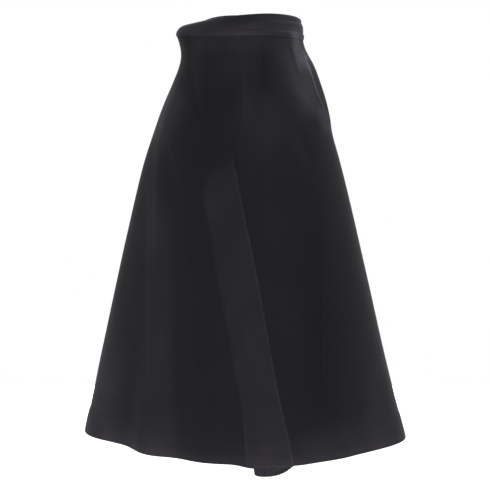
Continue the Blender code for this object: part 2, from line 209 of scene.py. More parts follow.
# Small creases and soft swellings of the cloth itself, as a line on the front from its top to its
# foot: across and height in metres at both ends, half width to its left and right, how far it
# stands out, and how softly it fades at its ends.
CREASES = table(
    "top_x  top_z  foot_x  foot_z  left  right  depth  fade",
    (-0.0880, -0.055, -0.0700, -0.150, 0.0050, 0.0120, -0.0012, 0.5),
    (-0.0680, -0.045, -0.0620, -0.170, 0.0180, 0.0120, 0.0016, 0.5),
    (-0.1270, -0.188, -0.1080, -0.262, 0.0016, 0.0040, 0.0007, 0.3),
    (0.0930, -0.016, 0.1050, -0.062, 0.0045, 0.0035, 0.0020, 0.3),
    (0.0330, -0.020, 0.0420, -0.115, 0.0160, 0.0160, -0.0026, 0.5),
    (0.0350, -0.135, 0.0560, -0.185, 0.0260, 0.0260, 0.0020, 0.6),
    (0.0980, -0.095, 0.1440, -0.152, 0.0140, 0.0180, 0.0018, 0.6),
    (0.1060, -0.165, 0.1240, -0.230, 0.0120, 0.0140, -0.0020, 0.5),
    (0.1490, -0.330, 0.1500, -0.640, 0.0050, 0.0120, 0.0012, 0.3),
    (-0.1650, -0.235, -0.1590, -0.640, 0.0060, 0.0100, 0.0009, 0.3),
)

# Lines of painted light and painted shade on the front, lighter or darker where the light falls: at
# the hips, the left flank, the top left, the hem's corners and the right flank.
PAINTED_LIGHT_LINES = table(
    "top_x  top_z  foot_x  foot_z  left  right  strength  fade",
    (-0.1560, -0.215, -0.1550, -0.440, 0.0040, 0.0060, 0.55, 0.4),
    (-0.1370, -0.300, -0.1250, -0.760, 0.0700, 0.0140, 1.10, 0.3),
    (-0.1480, -0.690, -0.1440, -0.830, 0.0240, 0.0200, 1.00, 0.5),
    (-0.1620, -0.370, -0.1860, -0.725, 0.0190, 0.0150, -1.35, 0.3),
    (-0.2340, -0.520, -0.2600, -0.860, 0.0300, 0.0260, 2.10, 0.6),
    (-0.1225, -0.080, -0.1535, -0.180, 0.0110, 0.0080, 5.20, 0.5),
    (-0.1000, 0.060, -0.1000, -0.085, 0.0200, 0.0130, -1.20, 0.4),
    (-0.0250, 0.020, -0.0250, -0.022, 0.0700, 0.0800, 0.90, 0.5),
    (0.0960, 0.012, 0.1130, -0.050, 0.0070, 0.0090, 7.00, 0.4),
    (0.1330, -0.150, 0.1520, -0.640, 0.0500, 0.0450, -0.48, 0.3),
    (0.2300, -0.540, 0.2800, -0.860, 0.0320, 0.0300, 1.30, 0.6),
    (0.1440, -0.125, 0.1560, -0.170, 0.0080, 0.0100, 2.00, 0.4),
    (0.1600, -0.675, 0.1600, -0.800, 0.0900, 0.1200, 0.90, 0.5),
    (0.0120, -0.100, 0.0120, -0.158, 0.0130, 0.0150, 0.55, 0.8),
    (-0.1080, -0.105, -0.1460, -0.205, 0.0140, 0.0140, 0.90, 0.5),
    (-0.0250, 0.050, -0.0250, -0.075, 0.0650, 0.0750, 0.70, 0.8),
    (0.0360, -0.100, 0.0440, -0.190, 0.0420, 0.0380, 0.85, 0.9),
    (0.0920, -0.030, 0.1200, -0.130, 0.0180, 0.0320, 2.40, 0.5),
    (0.0933, -0.010, 0.1056, -0.060, 0.0030, 0.0040, 1.80, 0.3),
    (0.1022, -0.120, 0.1480, -0.155, 0.0060, 0.0080, 0.60, 0.4),
    (0.0084, -0.030, 0.0060, -0.150, 0.0070, 0.0070, 0.40, 0.4),
    (0.0360, -0.010, 0.0400, -0.110, 0.0180, 0.0180, -0.40, 0.4),
    (0.1480, -0.330, 0.1480, -0.640, 0.0030, 0.0030, 0.35, 0.3),
    (-0.1250, -0.190, -0.1080, -0.262, 0.0010, 0.0016, 0.50, 0.3),
    (0.0067, -0.650, 0.0127, -0.728, 0.0012, 0.0014, 1.60, 0.6),
    (0.1150, -0.026, 0.1265, -0.062, 0.0040, 0.0040, 5.00, 0.5),
)

# Stitched darts from the waist seam down to their points: across at the top and at the point, the
# point's height, and whether on the front.
DARTS = table(
    "top_x  foot_x  foot_z  front",
    (-0.0387, -0.0330, -0.098, 1),
    (0.0376, 0.0405, -0.094, 1),
    (-0.0470, -0.0500, -0.125, 0),
    (0.0470, 0.0500, -0.125, 0),
)


def at(columns, name, height):
    """A column at any heights, as a smooth curve through its rows."""
    heights, values = columns["height"], columns[name]
    row = np.clip(np.searchsorted(-heights, -np.asarray(height)) - 1, 0, len(heights) - 2)
    slopes = np.diff(values) / np.diff(heights)
    start = (slopes[np.maximum(row - 1, 0)] + slopes[row]) / 2
    end = (slopes[row] + slopes[np.minimum(row + 1, len(slopes) - 1)]) / 2
    span = heights[row + 1] - heights[row]
    u = (height - heights[row]) / span
    return (
        values[row] * (1 + 2 * u) * (1 - u) ** 2
        + values[row + 1] * u * u * (3 - 2 * u)
        + span * (start * u * (1 - u) ** 2 - end * u * u * (1 - u))
    )


def ease(value):
    """Zero below 0, one above 1, and a smooth step between."""
    value = np.clip(value, 0.0, 1.0)
    return value * value * (3 - 2 * value)


def bump(distance, width):
    """One at no distance, and soon nothing beyond the width."""
    return np.exp(-((distance / width) ** 2))


def folds(angle, height):
    """How far all the soft folds push the section out."""
    swell = np.zeros(np.broadcast(angle, height).shape)
    for start, top, foot, width, depth, growth in zip(*FOLDS.values()):
        grown = np.clip((start - height) / (start - HEM), 0.0, 1.0)
        centre = foot + (top - foot) * (1 - grown) ** 2
        turn = (np.degrees(angle) - centre + 180) % 360 - 180
        swell += depth * grown**growth * bump(turn, width)
    return swell


def section(angle, height):
    """Points on the level sections, before any layer is lifted off them."""
    right, left = at(SECTIONS, "wearer_right", height), at(SECTIONS, "wearer_left", height)
    front, back = at(SECTIONS, "front", height), at(SECTIONS, "back", height)
    across, ahead = np.sin(angle), np.cos(angle)
    x = ((left + right) / 2 + (left - right) / 2 * across) * across
    y = -((front + back) / 2 + (front - back) / 2 * ahead) * ahead
    grow = 1 + folds(angle, height) / np.hypot(x, y)
    return x * grow, y * grow


def seam_height(angle):
    """The waist seam runs level, and dips at the wearer's left."""
    from_left = np.degrees(abs((angle - math.radians(90) + math.pi) % math.tau - math.pi))
    return SEAM_LOW + (SEAM_HIGH - SEAM_LOW) * ease(from_left / 70)


def in_front(y):
    """One on the front and zero on the back, with a soft change at the sides."""
    return ease(0.5 - y / 0.05)


def soft_lines(lines, x, z):
    """The sum of soft lines on the front, each fading out at both of its ends."""
    total = np.zeros(x.shape)
    for top_x, top_z, foot_x, foot_z, left, right, strength, fade in zip(*lines.values()):
        along = (top_z - z) / (top_z - foot_z)
        from_middle = x - top_x - (foot_x - top_x) * along
        ends = ease((along + fade / 2) / fade) * ease((1 + fade / 2 - along) / fade)
        total += strength * ends * bump(from_middle, np.where(from_middle < 0, left, right))
    return total


def darts(x, z, front):
    """Each dart is a pressed line under the band that ends in a small pucker at its point."""
    swell = np.zeros(x.shape)
    for top_x, foot_x, foot_z, on_front in zip(*DARTS.values()):
        along = z / foot_z
        aside = x - top_x - (foot_x - top_x) * along
        held = ease((1.08 - along) / 0.16) * (front == on_front) * (1 if on_front else 2)
        swell += held * (0.0004 * bump(aside + 0.0042, 0.0034) - 0.0004 * bump(aside, 0.0015))
        swell += (front == on_front) * 0.0010 * bump(aside, 0.009) * bump(along - 1.12, 0.16)
    return swell


def pleat_hollow(x, z):
    """The pleat's pressed strip rises out of a shallow valley along the fold inside it."""
    grown = ease((RELEASE + 0.02 - z) / 0.06)
    aside = x - at(PRESSED, "border", np.maximum(z, HEM))
    return -0.0026 * grown * np.where(aside < 0, np.exp(aside / 0.030), np.exp(-aside / 0.026))


def unevenness(x, y, z):
    """The faint waves that pressed cloth keeps, a fraction of a millimetre high."""
    high = 0.00012
    waves = (
        (31, 17, 9, 0.3),
        (-23, 29, 14, 1.9),
        (47, -38, 21, 4.1),
        (12, 53, -33, 2.6),
        (71, 22, 17, 5.3),
    )
    return sum(high * np.sin(a * x + b * y + c * z + start) for a, b, c, start in waves)


def hem_droop(x):
    """The outer layer hangs a little lower where the pleat's fold inside weighs it down."""
    return HEM_DROOP * bump(x - 0.020, 0.022)


def place(angle, height, lift=0.0, slide=0.0, drop=0.0, relief=True):
    """Points of the skirt, lifted off their section and slid round it, as an array of x, y, z."""
    angle, height = np.broadcast_arrays(np.asarray(angle, float), np.asarray(height, float))
    step = math.radians(0.5)
    (x0, y0), (x, y), (x1, y1) = (section(angle + turn, height) for turn in (-step, 0.0, step))
    length = np.hypot(x1 - x0, y1 - y0)
    along_x, along_y = (x1 - x0) / length, (y1 - y0) / length
    z = height + seam_height(angle) * (1 - np.clip(-height / SEAM_FADE, 0.0, 1.0)) - drop
    weighed_down = ease((HEM + DROOP_REACH - height) / DROOP_REACH) * (np.asarray(drop) < SLIVER)
    z = z - hem_droop(x) * (y < 0) * weighed_down
    lift = lift + unevenness(x, y, height)
    if relief:
        creases = soft_lines(CREASES, x, height) + pleat_hollow(x, height)
        lift = lift + creases * in_front(y) + darts(x, height, y < 0)
    x, y = x + along_y * lift + along_x * slide, y - along_x * lift + along_y * slide
    return np.stack([x, y, z], axis=-1)


def angle_at(across, height, lift):
    """The angles on the front where points lie this far across."""
    low = np.full(np.shape(height), math.radians(-60))
    high = -low
    for _ in range(24):
        middle = (low + high) / 2
        short = place(middle, height, lift)[..., 0] < across
        low, high = np.where(short, middle, low), np.where(short, high, middle)
    return low


class Pleat:
    """The knife pleat's layers, for a column of heights."""

    def __init__(self, height):
        self.height = height
        self.open = height <= RELEASE + SLIVER
        grown = np.clip((RELEASE - height) / (RELEASE - HEM), 0.0, 1.0)
        doubled = ease((HEM + TURN_UP + 0.006 - height) / 0.012)
        self.radius = CLOTH + PLEAT_SLACK + doubled * 0.0006
        self.proud = PLEAT_PROUD * grown**0.7
        self.lifted = ease((RELEASE + 0.030 - height) / 0.030)
        self.edge = angle_at(at(PLEAT, "edge", height), height, self.outer_lift(1.0))
        self.inside = angle_at(at(PLEAT, "inside", height), height, self.outer_lift(0.0))
        self.reach = np.hypot(*section(self.edge, height))
        self.drop = PLEAT_DROP * ease(1 - (height - HEM) / DROOP_REACH)
        self.width = np.maximum((self.edge - self.inside) * self.reach, NARROWEST)

    def return_lift(self, along):
        return PLEAT_AIR + self.proud * along**1.5

    def outer_lift(self, along):
        return (self.return_lift(along) + 2 * self.radius) * self.lifted

    def corner(self, along):
        """The layers that hang below the hem are rounded at the fold inside."""
        return self.drop * (1 - 0.14 * np.exp(-along / 0.05))

    def between(self, along):
        return self.inside + (self.edge - self.inside) * along


class Columns:
    """A grid's columns on the skirt. Depth into the cloth moves a point inward and sideways."""

    def __init__(self, rows):
        self.rows = rows
        self.parts = []

    def add(self, angle, lift=0.0, inward=-1.0, slide=0.0, sideways=0.0, drop=0.0):
        values = np.broadcast_arrays(angle, lift, inward, slide, sideways, drop, self.rows)
        self.parts.append(np.stack(values[:6]))

    def turn(self, angle, lift, slide, radius, first, last, count, side, drop=0.0):
        """A fold round an upright edge: side is 1 where the cloth is inside the turn, else -1."""
        turns = np.linspace(first, last, count + 2)[1:-1]
        out, aside = np.cos(turns), np.sin(turns)
        slide = slide + side * radius * aside
        self.add(angle, lift + radius * out, -side * out, slide, -aside, drop)

    def close_above(self, level, angle, lift):
        """Above the level, the columns so far lie somewhere else."""
        above = np.broadcast_to(self.rows > level + SLIVER, np.broadcast(angle, lift).shape)
        parts = np.concatenate(self.parts, axis=2)
        for i, values in enumerate((angle, lift, -1.0, 0.0, 0.0, 0.0)):
            parts[i] = np.where(above, values, parts[i])
        self.parts = [parts]

    def points(self, height, depth):
        angle, lift, inward, slide, sideways, drop = np.concatenate(self.parts, axis=2)
        return place(angle, height, lift + inward * depth, slide + sideways * depth, drop)

    @property
    def count(self):
        return sum(part.shape[2] for part in self.parts)


def finer_ends(count, width, first=True, last=True):
    """Steps from 0 to 1 that are close together at the sewn ends."""
    close = np.array([0.0, 0.0006, 0.0013, 0.0022, 0.0036]) / width
    middle = np.linspace(close[-1] if first else 0.0, 1 - close[-1] if last else 1.0, count)
    return np.concatenate([close[:-1] if first else [], middle, 1 - close[-2::-1] if last else []])


def sewn(distance, height, deep=1.0):
    """How a pressed-open seam sinks the cloth beside it, and puckers it along its stitches."""
    pucker = 1 + 0.22 * np.sin(height * 410 + 1.7 * np.sin(height * 67))
    return -deep * (0.0006 * bump(distance, 0.0010) + 0.0006 * bump(distance, 0.0050) * pucker)


def cloth_rows():
    """Heights and depths of a panel's rows.

    They tuck under the band, run down the face and round the hem, and go up inside."""
    top = np.concatenate([[0.0, 0.0, -0.0006, -0.0013, -0.0024], -np.arange(0.0045, -RELEASE, ROW)])
    low = np.arange(RELEASE, HEM + 0.012, -ROW)
    edge = np.array([0.009, 0.006, 0.004, 0.0025, 0.0015]) + HEM
    turns = np.linspace(0.0, math.pi, 9)
    up = np.concatenate([[0.003, 0.008], np.linspace(0.014, TURN_UP, 6)]) + HEM
    heights = np.concatenate([top, low, edge, HEM + HEM_ROUND * (1 - np.sin(turns)), up])
    depths = np.zeros(len(heights))
    depths[0] = 0.0012
    round_the_hem = len(top) + len(low) + len(edge)
    depths[round_the_hem : round_the_hem + len(turns)] = HEM_ROUND * (1 - np.cos(turns))
    depths[-len(up) :] = 2 * HEM_ROUND
    return heights[:, None], depths[:, None]


def hem_imprint(height):
    """The turned-up edge shows through as a faint step, and the hem hangs a little fuller."""
    above = height - (HEM + TURN_UP)
    return 0.0007 * ease(0.5 - above / 0.008) - 0.0004 * bump(above - 0.003, 0.003)


def face_lift(height, *distances):
    """The relief of a panel's face, from its distances to the seams at its sides."""
    return hem_imprint(height) + sum(sewn(distance, height) for distance in distances)


def made_from(mesh, name):
    """The bmesh as a new object in the scene."""
    data = bpy.data.meshes.new(name)
    mesh.to_mesh(data)
    mesh.free()
    made = bpy.data.objects.new(name, data)
    bpy.context.scene.collection.objects.link(made)
    return made


def cloth_grid(name, points, shown=None, thickness=CLOTH):
    """A bmesh grid whose corners are moved to the points, with a map in metres, and a wall."""
    rows, columns = points.shape[:2]
    mesh = bmesh.new()
    bmesh.ops.create_grid(mesh, x_segments=columns - 1, y_segments=rows - 1, size=0.5)
    if shown is not None:
        hidden = []
        for face in mesh.faces:
            middle = face.calc_center_median()
            row, column = int((0.5 - middle.y) * (rows - 1)), int((middle.x + 0.5) * (columns - 1))
            if not shown(row, column):
                hidden.append(face)
        bmesh.ops.delete(mesh, geom=hidden, context="FACES")
    made = made_from(mesh, name)
    data = made.data
    flat = np.empty(len(data.vertices) * 3)
    data.vertices.foreach_get("co", flat)
    flat = flat.reshape(-1, 3)
    column = np.rint((flat[:, 0] + 0.5) * (columns - 1)).astype(int)
    row = np.rint((0.5 - flat[:, 1]) * (rows - 1)).astype(int)
    data.vertices.foreach_set("co", points[row, column].ravel())
    across = np.linalg.norm(np.diff(points, axis=1, prepend=points[:, :1]), axis=2).cumsum(axis=1)
    down = np.linalg.norm(np.diff(points, axis=0, prepend=points[:1]), axis=2).cumsum(axis=0)
    down = np.broadcast_to(np.median(down, axis=1)[:, None], down.shape)
    corners = np.empty(len(data.loops), int)
    data.loops.foreach_get("vertex_index", corners)
    uv = np.stack([across[row, column], -down[row, column]], axis=1)[corners]
    data.uv_layers.new(name="Cloth").data.foreach_set("uv", uv.ravel())
    # Painted light and nap at each point, which the material adds to the cloth's tone.
    painted_light_and_nap = data.attributes.new("nap_and_painted_light", "FLOAT", "POINT")
    painted_light_and_nap.data.foreach_set("value", nap_and_painted_light(points)[row, column].ravel())
    data.polygons.foreach_set("use_smooth", np.ones(len(data.polygons), bool))
    data.update()
    wall = made.modifiers.new("cloth", "SOLIDIFY")
    wall.thickness, wall.offset = thickness, -1.0
    return made


def allowance(columns, angle, direction, reach, outward):
    """The seam allowance, pressed open inside: round the sewn edge, then back beside it.

    Direction is 1 where the panel lies on the far side of the seam as the angle grows. The columns
    run outward from the panel, so the last panel column meets the first of these."""
    height = columns.rows
    width = 0.0012 + ALLOWANCE * ease((height - HEM - TURN_UP) / 0.012)
    base = face_lift(height, 0.0)
    steps = [(0.00, 0.5), (0.03, 0.93), (0.10, 1.0), (0.4, 1.0), (0.7, 1.0), (1.0, 1.0)]
    for back, under in steps if outward else steps[::-1]:
        columns.add(angle + direction * back * width / reach, base - ALLOWANCE_UNDER * under)


def front_right(heights, depths):
    """The front at the wearer's right, with the pleat's outer layer, crisp fold and return."""
    pleat = Pleat(heights)
    reach = pleat.reach
    columns = Columns(heights)
    side = math.radians(PLAIN_SIDE) + SEAM_GAP / 2 / reach
    near = pleat.inside - 0.004 / reach
    approach = near - PLEAT_APPROACH / reach
    allowance(columns, side, 1, reach, False)
    free = finer_ends(104, 0.20, last=False)[:-1]
    from_side = (approach - side) * free
    columns.add(side + from_side, face_lift(heights, from_side * reach))
    over = np.linspace(0, 1, 17)[:-1]
    imprint = hem_imprint(heights)
    risen = pleat.outer_lift(0.0) * ease(over) + imprint
    columns.add(approach + (near - approach) * over, risen)
    last = pleat.edge - np.where(pleat.open, pleat.radius, 0.0) / reach
    along = finer_ends(26, 0.07, first=False)
    from_seam = (1 - along) * (last - near) * reach
    seam = np.where(pleat.open, 0.0, sewn(from_seam, heights, FRONT_SEAM_DEEP))
    pressed = 0.0004 * bump(from_seam - 0.0015, 0.0016) * pleat.open
    over = pleat.outer_lift(along) + seam + pressed + imprint
    columns.add(near + (last - near) * along, over)
    outer = pleat.outer_lift(1.0) + imprint
    columns.turn(last, outer - pleat.radius, 0.0, pleat.radius, 0.0, math.pi, 7, 1)
    stop = PLEAT_SEAM + PLEAT_SEAM_GAP / pleat.width
    first = (last - pleat.inside) / (pleat.edge - pleat.inside)
    along = first + (stop - first) * np.linspace(0, 1, 14)
    back_under = pleat.outer_lift(along) + imprint - 2 * pleat.radius
    columns.add(pleat.between(along), back_under, 1.0, drop=pleat.drop * (1 - ease(along)))
    return columns.points(heights, depths), None


def front_left(heights, depths):
    """The front at the wearer's left: the fold inside the pleat, its underlay, then the front."""
    pleat = Pleat(heights)
    reach = pleat.reach
    columns = Columns(heights)
    along = (PLEAT_SEAM - PLEAT_SEAM_GAP / pleat.width) * np.linspace(1, 0, 5)
    drop = pleat.corner(along) * (1 - ease(along))
    columns.add(pleat.between(along), pleat.return_lift(along), 1.0, drop=drop)
    half = PLEAT_AIR / 2
    columns.turn(pleat.inside, half, 0.0, half, 0.0, math.pi, 5, -1, pleat.corner(0.0))
    along = np.linspace(0, 1, 16)[:-1]
    columns.add(pleat.between(along), 0.0, drop=pleat.corner(along) * (1 - along**3))
    start = pleat.edge + SEAM_GAP / reach
    hidden = columns.count
    back = np.linspace(1, 0, hidden)
    under = -ALLOWANCE_UNDER * np.minimum(0.5 + 12 * back, 1.0) + face_lift(heights, 0.0)
    columns.close_above(RELEASE, start + back * ALLOWANCE / reach, under)
    side = front_edge(heights) - SEAM_GAP / 2 / reach
    steps = finer_ends(112, 0.24)
    from_start, from_side = (side - start) * steps * reach, (side - start) * (1 - steps) * reach
    seam = np.where(pleat.open, 0.0, sewn(from_start, heights, FRONT_SEAM_DEEP))
    rolled = mouth_roll(from_side, heights)
    columns.add(start + (side - start) * steps, seam + face_lift(heights, from_side) + rolled)
    allowance(columns, side, -1, reach, True)
    above_release = int(np.argmin(abs(heights[:, 0] - RELEASE))) - 1

    def shown(row, column):
        return row != above_release or column >= hidden

    return columns.points(heights, depths), shown


def gape(height):
    """How many degrees the pocket mouth gapes, which is none above and below it."""
    in_mouth = (height > MOUTH_FOOT) & (height < MOUTH_TOP)
    return np.where(in_mouth, np.maximum(at(POCKET_SIDE, "gape", height), 0.0), 0.0)


def mouth_roll(from_side, height):
    """The front edge of the pocket mouth is turned, stitched, and stands a little proud."""
    rolled = 0.0012 * bump(from_side - 0.003, 0.0045) - 0.0003 * bump(from_side - 0.0075, 0.0018)
    return rolled * np.minimum(gape(height) / WIDEST_GAPE, 1.0)


def front_edge(height):
    """The front edge of the seam at the wearer's left."""
    return np.radians(at(POCKET_SIDE, "front_edge", height))


def back_edge(height):
    """The back edge of the seam at the wearer's left."""
    return front_edge(height) + np.radians(gape(height))


def back(heights, depths, wearers_left):
    """A back half, between the middle back seam and a side seam."""
    reach = at(SECTIONS, "back", heights)
    columns = Columns(heights)
    middle = math.pi - SEAM_GAP / 2 / reach
    first, last = back_edge(heights) + SEAM_GAP / 2 / reach, middle
    if not wearers_left:
        first, last = -middle, math.radians(PLAIN_SIDE) - SEAM_GAP / 2 / reach
    allowance(columns, first, 1, reach, False)
    steps = finer_ends(112, 0.26)
    width = (last - first) * reach
    lift = face_lift(heights, width * steps, width * (1 - steps))
    columns.add(first + (last - first) * steps, lift)
    allowance(columns, last, -1, reach, True)
    return columns.points(heights, depths), None


def curl(angle):
    """The band leans in at the wearer's right, and a little at the wearer's left."""
    turn = np.degrees(angle)
    lean = np.where(turn > -90, ease((66 - turn) / 170), ease((turn + 186) / 84))
    return CURL_MOST * lean + SIDE_CURL * bump(turn - 84, 26) + 0.01


def band_relief(angle, up):
    """Rows of stitching and pressed creases along the band, strongest toward the wearer's left."""
    turn = np.degrees(angle)
    left = ease((turn + 12) / 26) * ease((150 - turn) / 60)
    rows = -0.0009 * bump(up - 0.0125, 0.0016) + 0.0008 * bump(up - 0.0075, 0.0028)
    rows += -0.0008 * bump(up - 0.0310, 0.0018) + 0.0007 * bump(up - 0.0240, 0.0036)
    return rows * left - 0.0008 * bump(up, 0.0012) - 0.0005 * bump(up - 0.0405, 0.0018)


def waistband():
    """One folded strip, its ends at the middle back: up the face, over the top, down inside."""
    near_seam = [0.0, 0.0006, 0.0013]
    face = np.concatenate([near_seam, np.linspace(0.0022, BAND_HEIGHT - BAND_ROUND, 30)])
    turns = np.linspace(0.0, math.pi, 9)[1:-1]
    over = BAND_HEIGHT - BAND_ROUND * (1 - np.sin(turns))
    inner = np.linspace(BAND_HEIGHT - BAND_ROUND, BAND_INSIDE, 16)
    up = np.concatenate([face, over, inner])[:, None]
    depth = np.concatenate(
        [np.zeros(len(face)), BAND_ROUND * (1 - np.cos(turns)), np.full(len(inner), 2 * BAND_ROUND)]
    )[:, None]
    end = math.pi - SEAM_GAP / at(SECTIONS, "back", 0.0)
    angle = np.linspace(-end, end, 361)[None, :]
    bend = curl(angle)
    lean = bend * up / BAND_HEIGHT
    through = depth - band_relief(angle, up) * (depth < BAND_ROUND)
    inward = BAND_HEIGHT * (1 - np.cos(lean)) / bend + through * np.cos(lean)
    rise = SEAM_GAP + BAND_HEIGHT * np.sin(lean) / bend - through * np.sin(lean)
    return place(angle, np.zeros_like(rise), BAND_PROUD - inward, 0.0, -rise, relief=False)


def pocket_facing():
    """It lies inside the front edge, and comes up beside the back panel where the mouth gapes."""
    heights = np.linspace(MOUTH_TOP + 0.001, MOUTH_FOOT - 0.001, 44)[:, None]
    reach = at(SECTIONS, "wearer_left", heights)
    front, last = front_edge(heights), back_edge(heights)
    apart = last - front
    first = front - FACING_REACH
    last = last - SEAM_GAP / reach
    angle = first + (last - first) * np.linspace(0, 1, 28)
    risen = ease((angle - front) / np.maximum(apart, 0.01) - 0.2)
    risen = risen * np.minimum(apart / math.radians(5), 1.0)
    return place(angle, heights, FACING_UNDER * (1 - risen) + sewn((last - angle) * reach, heights))


def pocket_bag():
    """Two layers of lining that lie flat behind the front, round at the foot."""
    heights = np.linspace(BAG_TOP, BAG_FOOT, 40)[:, None]
    down = (MOUTH_TOP - heights) / (MOUTH_TOP - BAG_FOOT)
    belly = np.sqrt(1 - np.maximum(down - 0.5, 0.0) ** 2 / 0.36)
    first = np.radians(BAG_MIDDLE - BAG_HALF * ease(down / 0.5 + 0.5) * belly)
    last = np.radians(BAG_MIDDLE + BAG_HALF * belly)
    return place(first + (last - first) * np.linspace(0, 1, 30), heights, BAG_UNDER)


def nap_and_painted_light(points):
    """How much painted light, and the nap of the pressed cloth, lighten each point of a panel."""
    x, y, z = np.moveaxis(points, -1, 0)
    level = np.clip(z, HEM, 0.0)
    above_hem = z - HEM
    from_border, from_edge = x - at(PRESSED, "border", level), at(PLEAT, "edge", level) - x
    opened = ease((RELEASE + 0.01 - z) / 0.02)
    # Painted light on the pleat's pressed strip, and painted highlights along its crisp edge, along
    # its foot and along the pocket mouth's edge.
    strip = ease(from_border / 0.009 + 0.5) * ease(from_edge / 0.002 + 1.0) * opened
    crisp = bump(from_edge - 0.0010, 0.0013) * opened * (0.7 + 0.6 * ease(1 - above_hem / 0.12))
    foot = bump(above_hem + hem_droop(x) - 0.0014, 0.0014) * strip
    mouth = place(front_edge(level), level)
    edge = bump(np.hypot(x - mouth[..., 0], y - mouth[..., 1]) - 0.0012, 0.0027)
    edge = edge * ease((MOUTH_TOP + 0.012 - z) / 0.024) * ease((z - MOUTH_FOOT + 0.006) / 0.02)
    painted_light_and_nap = STRIP_PAINTED_LIGHT * strip + EDGE_PAINTED_HIGHLIGHT * (crisp + foot) + MOUTH_PAINTED_HIGHLIGHT * edge
    painted_light_and_nap = (soft_lines(PAINTED_LIGHT_LINES, x, z) + painted_light_and_nap) * in_front(y)
    # Painted light: lighter towards the hem, and lighter still on the pleat's layers that hang below
    # it.
    painted_light_and_nap = painted_light_and_nap + 0.75 * ease((0.07 - above_hem) / 0.06) + 1.1 * ease((0.020 - above_hem) / 0.016)
    painted_light_and_nap = painted_light_and_nap + 0.3 * ease((-hem_droop(x) - 0.001 - above_hem) / 0.003)
    return np.clip(NAP_AND_PAINTED_LIGHT_PLAIN + painted_light_and_nap, NAP_AND_PAINTED_LIGHT_LEAST, NAP_AND_PAINTED_LIGHT_MOST)


def stitches(name, spots, along, length, thick, finish):
    """A row of stitches: at each spot a short thread that lies along the given direction."""
    mesh = bmesh.new()
    for spot, way in zip(spots, along):
        way = Vector(way).normalized()
        turn = way.to_track_quat("X", "Z").to_matrix().to_4x4()
        size = Matrix.Diagonal((length, thick, thick, 1.0))
        matrix = Matrix.Translation(Vector(spot)) @ turn @ size
        bmesh.ops.create_uvsphere(mesh, u_segments=6, v_segments=4, radius=0.5, matrix=matrix)
    for face in mesh.faces:
        face.smooth = True
    made = made_from(mesh, name)
    made.data.materials.append(finish)
    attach(made, "skirt")
    return made


def mouth_stitching(thread):
    """One row beside the front edge of the pocket mouth, and a bartack across each of its ends."""
    heights = np.arange(MOUTH_TOP - 0.003, MOUTH_FOOT + 0.003, -STITCH_STEP)
    reach = at(SECTIONS, "wearer_left", heights)
    edge = front_edge(heights)
    lift = mouth_roll(np.full(len(heights), STITCH_IN), heights) + 0.00008
    line = place(edge - STITCH_IN / reach, heights, lift)
    row = np.diff(line, axis=0)
    made = [stitches("mouth_stitches", line[:-1], row, STITCH_LONG, STITCH_THICK, thread)]
    across = np.linspace(-0.0075, 0.0015, 13)
    for end, height in (("top", MOUTH_TOP + 0.0012), ("foot", MOUTH_FOOT - 0.0012)):
        levels = np.full(len(across), height)
        angle = front_edge(levels)
        angle = angle + across / at(SECTIONS, "wearer_left", levels)
        top = place(angle, levels + 0.0011, 0.0002)
        foot = place(angle + 0.003, levels - 0.0011, 0.0002)
        spots, name = (top + foot) / 2, "mouth_bartack_" + end
        made.append(stitches(name, spots, foot - top, BARTACK_LONG, BARTACK_THICK, thread))
    return made


def edge_binding(name, line, thread):
    """Overlocking along a raw edge: loops of thread across it."""
    lengths = np.concatenate([[0.0], np.linalg.norm(np.diff(line, axis=0), axis=1).cumsum()])
    places = np.arange(OVERLOCK_STEP, lengths[-1], OVERLOCK_STEP)
    spots = np.stack([np.interp(places, lengths, line[:, i]) for i in range(3)], axis=1)
    spots[:, 2] -= OVERLOCK_WIDE / 2
    lean = np.where(np.arange(len(spots)) % 2, 0.35, -0.35)
    ahead = np.gradient(spots, axis=0)
    ahead /= np.linalg.norm(ahead, axis=1)[:, None]
    across = ahead * lean[:, None] + np.array([0.0, 0.0, 1.0])
    return stitches(name, spots, across, OVERLOCK_WIDE, OVERLOCK_THICK, thread)


def behind_the_zip(angle, heights, lift):
    """Points inside the middle back, up into the band above the waist seam."""
    below = place(angle, np.minimum(heights, 0.0), lift)
    below[..., 2] += np.maximum(heights, 0.0)
    return below


def zip_inside(tape, thread):
    """The concealed zip's two tapes inside the middle back, and its coil between them."""
    heights = np.linspace(ZIP_TOP, ZIP_FOOT, 60)[:, None]
    reach = at(SECTIONS, "back", np.minimum(heights, 0.0))
    for name, side in (("zip_tape_right", -1), ("zip_tape_left", 1)):
        away = np.linspace(TAPE_FROM_MIDDLE, TAPE_FROM_MIDDLE + TAPE_WIDE, 8)
        ribs = TAPE_RIB_HIGH * np.cos(away * math.tau / TAPE_RIB)
        angle = math.pi - side * away / reach
        if side < 0:
            angle = angle[:, ::-1]
        points = behind_the_zip(angle, heights, TAPE_UNDER + ribs)
        add_piece(cloth_grid(name, points, thickness=TAPE_THICK), tape, "facing_cloth")
    levels = np.arange(ZIP_TOP - 0.002, ZIP_FOOT + 0.004, -COIL_STEP)
    centre = behind_the_zip(np.full(len(levels), math.pi), levels, TAPE_UNDER + 0.0002)
    turns = np.tile((1.0, 0.0, 0.12), (len(levels), 1))
    coil = stitches("zip_coil", centre, turns, COIL_WIDE, COIL_THICK, thread)


def linear(hex_colour):
    """An sRGB hex colour as linear red, green and blue, and full alpha."""
    channels = [int(hex_colour[i : i + 2], 16) / 255 for i in (1, 3, 5)]
    return [c / 12.92 if c <= 0.04045 else ((c + 0.055) / 1.055) ** 2.4 for c in channels] + [1.0]


def link_into(tree, node, links):
    """Links from other nodes' outputs into a node's inputs."""
    for key, (source, output) in dict(links).items():
        tree.links.new(source.outputs[output], node.inputs[key])


